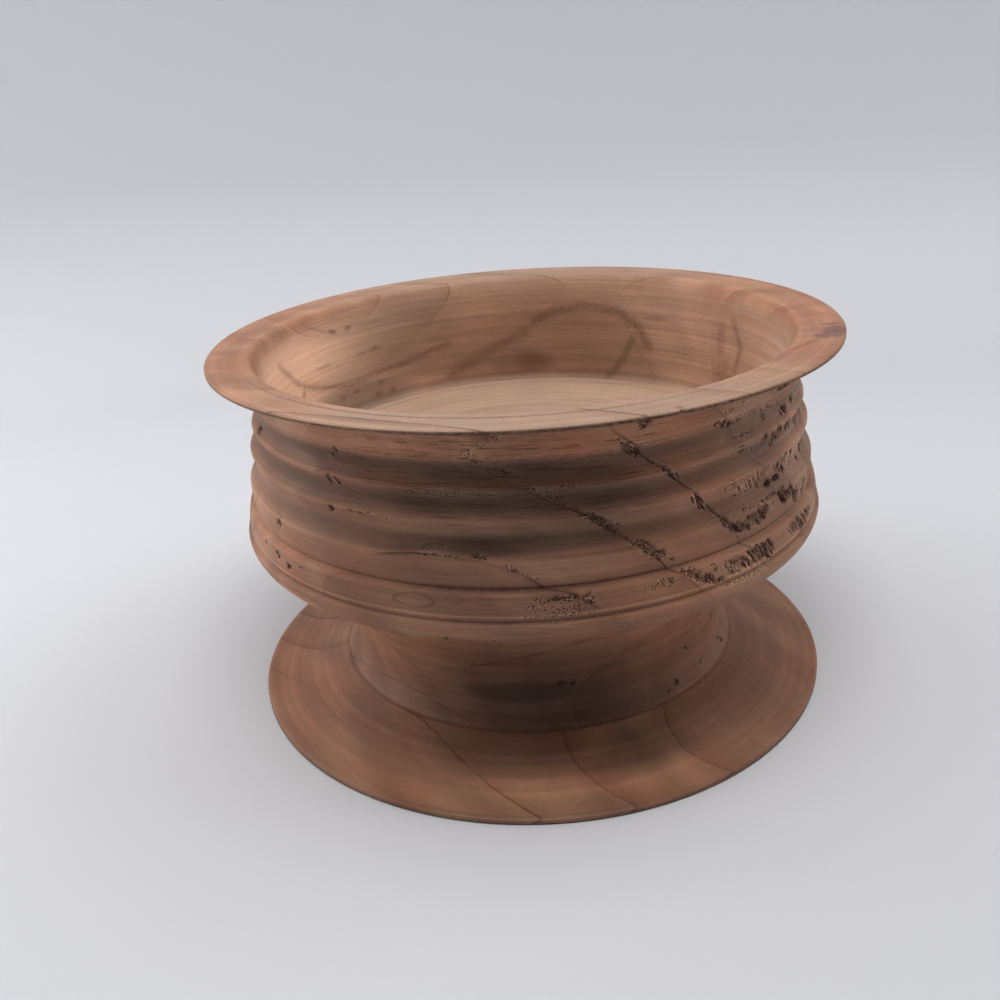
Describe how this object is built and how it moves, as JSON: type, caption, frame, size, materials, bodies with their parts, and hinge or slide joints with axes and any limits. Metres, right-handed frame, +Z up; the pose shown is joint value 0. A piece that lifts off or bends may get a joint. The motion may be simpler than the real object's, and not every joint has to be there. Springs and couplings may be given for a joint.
{
  "type": "wooden pedestal bowl",
  "caption": "Turned wooden pedestal bowl with a thin flared lip, a ribbed outer wall and a waisted stem on a thin wide foot.",
  "frame": {"origin": "middle of the foot's flat underside, on the surface that the bowl stands on", "axes": "+Z up along the turning axis, through the middle of the open top"},
  "size_m": [0.18, 0.18, 0.1064],
  "materials": {
    "bowl_wood": "bare turned reddish-brown wood, matte to satin, with fine tool lines and torn grain on the outer wall",
    "stem_wood": "bare turned reddish-brown wood, smooth, matte to satin",
    "foot_wood": "bare turned reddish-brown wood, smooth, matte to satin"
  },
  "bodies": {
    "root": {"bowl": "bowl_wood", "stem": "stem_wood", "foot": "foot_wood"}
  },
  "joints": []
}
